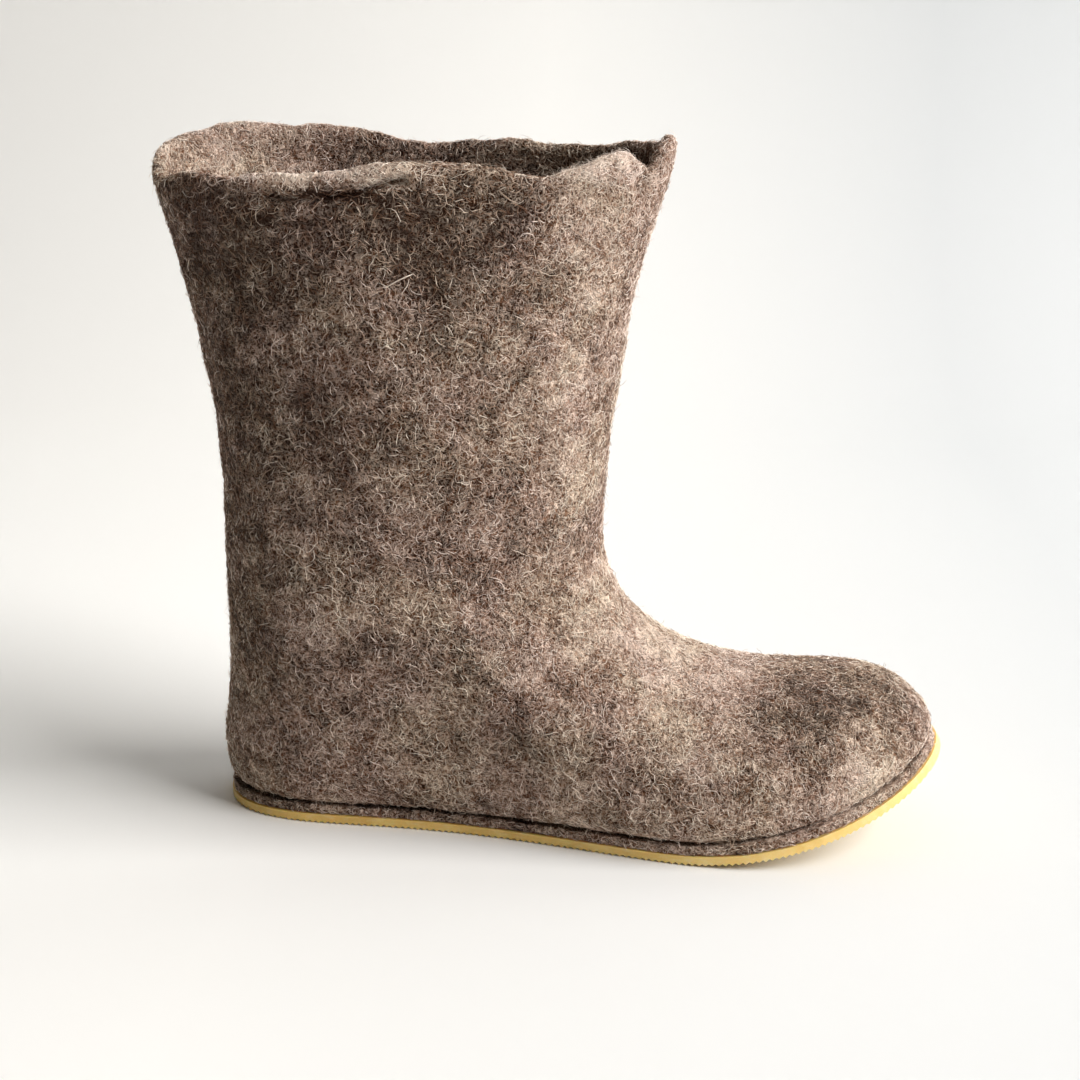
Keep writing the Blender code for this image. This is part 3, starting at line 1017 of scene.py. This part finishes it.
print("fibres end", 1000 * DIP, "mm deep in the felt")

# %% [markdown]
# The loose wool has the felt's colours. Each fibre carries one shade, and the felt's
# own mottle is added to it, so that dark and pale fibres gather as they do in the felt.

# %% Colour of the loose wool
FIBRE_STOPS = [
    (0.05, (0.042, 0.016, 0.008)), (0.35, (0.210, 0.110, 0.069)),
    (0.58, (0.560, 0.420, 0.338)), (0.86, (0.985, 0.905, 0.850)),
]
fibre_wool, start, shader = new_finish("loose_wool", {"Roughness": 0.62, "Specular IOR Level": 0.16})
shade = start.node("ShaderNodeAttribute", {"attribute_name": "shade"}, output="Fac")
place = start.node("ShaderNodeTexCoord", output="Object")
wear(fibre_wool, shader, tinted((shade + mottle(place) * 0.55).ramp(FIBRE_STOPS), place))

# %% [markdown]
# Four kinds of fibre cover the felt: long curly ones, two middling kinds and many
# short ones. Each kind is a piece of its own. All but the soft kind grow denser round
# the rim, and the middle and short ones on the midsole's band as well.

# %% Four kinds of fibre
FELT = 1.0 * outside + 0.5 * inside_top
FIBRES = [
    # name, count, rings, length, width,
    # lift, loose share, curl, paleness, where it grows, seed
    ("curly_fibres", 8200, 4, (0.0050, 0.0095), (0.00016, 0.00028),
     (0.0001, 0.0006), 0.10, 0.75, 0.68, FELT + 1.5 * rim + 6.0 * fluffy_corner, 11),
    ("middle_fibres", 16500, 2, (0.0028, 0.0056), (0.00017, 0.00030),
     (0.0001, 0.0006), 0.14, 0.65, 0.64, FELT + 3.0 * rim + 2.5 * band, 12),
    ("short_fibres", 33000, 1, (0.0018, 0.0036), (0.00020, 0.00032),
     (0.0001, 0.0005), 0.16, 0.55, 0.60, FELT + 2.0 * rim + 3.0 * band, 13),
    ("soft_fibres", 16500, 2, (0.0028, 0.0056), (0.00017, 0.00030),
     (0.0000, 0.0004), 0.05, 0.65, 0.54, FELT, 14),
]
for name, *amounts in FIBRES:
    add_piece(name, lay_fibres(name, *amounts), fibre_wool, "upper_felt")

# %% [markdown]
# At the outline a soft halo of longer hairs stands off the felt, most of all round
# the collar. They have more rings, so that they curl freely.

# %% Stray hairs
where_hairs_grow = 0.8 * outside + 7.0 * rim + 2.5 * front_edge + 40.0 * fluffy_corner
hair_mesh = lay_fibres(
    "stray_hairs", 1500, 5, (0.003, 0.009), (0.00009, 0.00016),
    (0.0004, 0.0011), 0.80, 0.55, 0.70, where_hairs_grow, 21,
)
add_piece("stray_hairs", hair_mesh, fibre_wool, "upper_felt")

# %% [markdown]
# One long hair lies nearly straight across the shaft, much paler than the rest. It
# is a spindle as well, bowed a little and tilted off the felt at its upper end.

# %% The one straight hair


def straight_hair(start, end, bow, width):
    """One spindle from start to end, bowed in the middle."""
    template = spindle(3)
    shape = read_points(template)
    share = shape[:, 2:3] / 4
    start, end = np.array(start), np.array(end)
    line = start + (end - start) * share + np.array(bow) * np.sin(np.pi * share)
    across = unit(np.cross(end - start, (0, -1, 0))[None])
    outwards = np.array((0, -1, 0))
    spots = line + across * shape[:, 0:1] * width / 2 + outwards * shape[:, 1:2] * width / 2
    write_points(template, spots)
    template.name = "straight_hair"
    template.shade_smooth()
    write_values(template, "shade", np.full(len(spots), 1.1))
    return template


HAIR_LINE = [(-0.0529, -0.0441, 0.1953), (-0.0421, -0.0452, 0.2008)]
pale_hair = straight_hair(*HAIR_LINE, bow=(0.0002, 0, 0.0005), width=0.00050)
add_piece("straight_hair", pale_hair, fibre_wool, "upper_felt")
